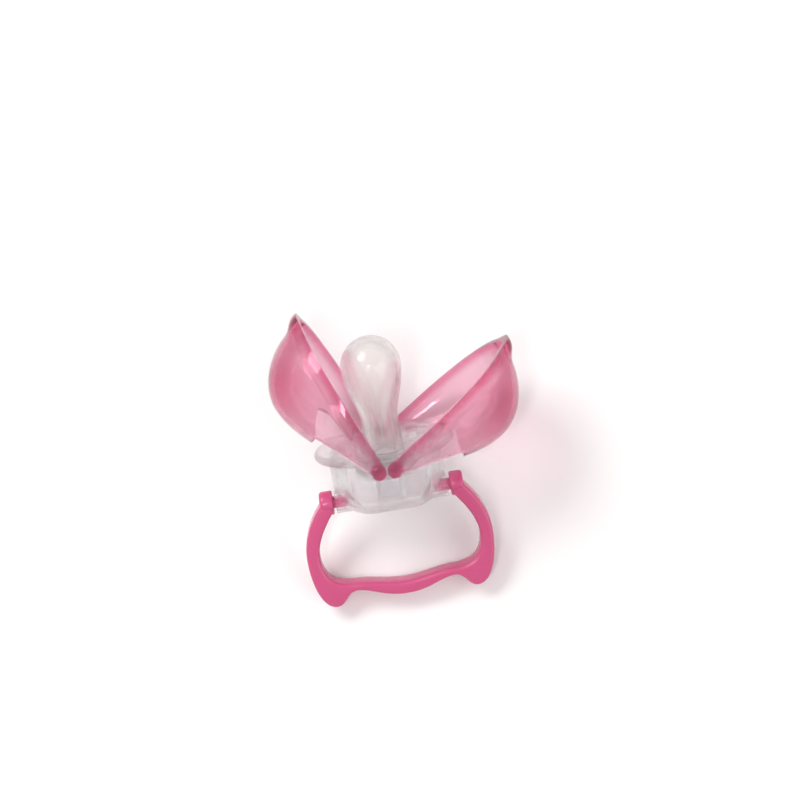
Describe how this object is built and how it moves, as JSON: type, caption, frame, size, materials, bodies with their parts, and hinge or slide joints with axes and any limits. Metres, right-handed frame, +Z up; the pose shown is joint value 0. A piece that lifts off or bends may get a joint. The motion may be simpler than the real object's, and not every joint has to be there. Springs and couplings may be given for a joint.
{
  "type": "pacifier",
  "caption": "Baby's pacifier: a soft round nipple in a clear dished shield, half-shell covers hinged beside it that swing shut over it, and a bail handle behind.",
  "frame": {"origin": "on the table under the middle of the pacifier's outline, as it lies on its side on its lower cover hinges and the two feet of its handle", "axes": "+Y along the table towards the nipple's tip, +X across the open covers, +Z up"},
  "size_m": [0.0604, 0.0688, 0.0452],
  "materials": {
    "clear_plastic": "clear moulded plastic, polished",
    "clear_silicone": "clear, slightly milky silicone, satin",
    "deep_pink_plastic": "deep pink moulded plastic, glossy",
    "pink_plastic": "translucent pink moulded plastic, glossy"
  },
  "bodies": {
    "base": {"shield": "clear_plastic", "handle_housing": "clear_plastic", "nipple": "clear_silicone", "nipple_plug": "clear_plastic"},
    "left_cover": {"cover_left": "pink_plastic"},
    "right_cover": {"cover_right": "pink_plastic"},
    "bail": {"handle": "deep_pink_plastic"}
  },
  "joints": [
    {"name": "left_cover_hinge", "type": "hinge", "parent": "base", "child": "left_cover", "pos_m": [-0.00664, -0.00019, 0.0189], "axis": [0, 0.4416, -0.8972], "range_deg": [-47, 23]},
    {"name": "right_cover_hinge", "type": "hinge", "parent": "base", "child": "right_cover", "pos_m": [-0.00284, -0.00019, 0.0189], "axis": [0, 0.4416, -0.8972], "range_deg": [-56, 14]},
    {"name": "handle_pivot", "type": "hinge", "parent": "base", "child": "bail", "pos_m": [-0.00474, -0.00961, 0.01426], "axis": [1, 0, 0], "range_deg": [-85, 85]}
  ]
}
